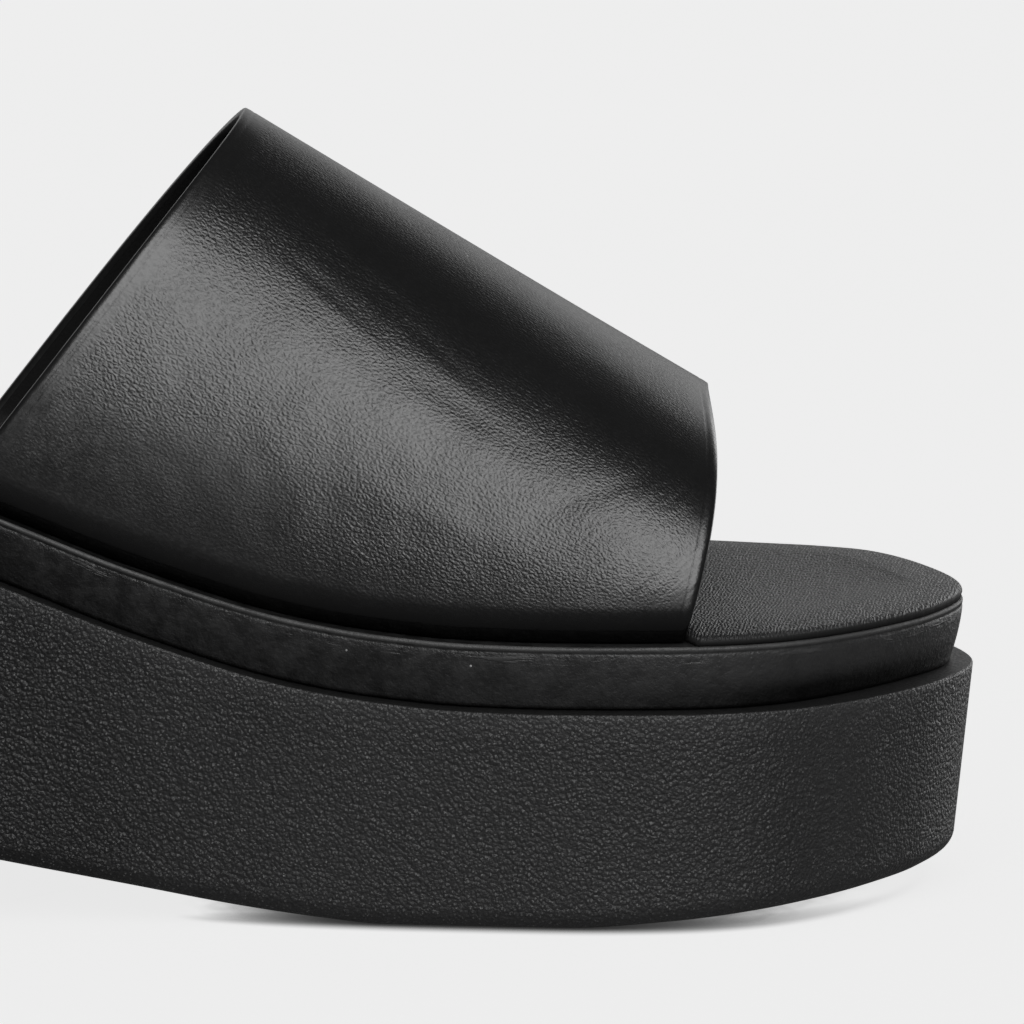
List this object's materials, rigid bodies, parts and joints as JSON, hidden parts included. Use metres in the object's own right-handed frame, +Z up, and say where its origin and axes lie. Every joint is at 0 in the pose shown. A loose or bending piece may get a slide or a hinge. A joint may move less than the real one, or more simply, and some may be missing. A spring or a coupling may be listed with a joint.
{
  "type": "sandal",
  "caption": "Black platform slide with a wide leather strap over the forefoot, an open toe and heel, and a thick wedge sole.",
  "frame": {"origin": "on the floor plane, under the middle of the sandal's bounding box", "axes": "+X from the heel to the toe, +Y to the inner side of the foot, +Z up from the floor"},
  "size_m": [0.2536, 0.0876, 0.1169],
  "materials": {
    "outsole": "matt, coarse pebbled texture",
    "midsole": "smooth matt, scuffed along its upper rim",
    "insole": "thin leather cover, fine wavy grain, low sheen",
    "upper": "soft pebbled leather, semi-gloss"
  },
  "bodies": {
    "root": {"outsole": "outsole", "midsole": "midsole", "insole": "insole", "upper": "upper"}
  },
  "joints": []
}
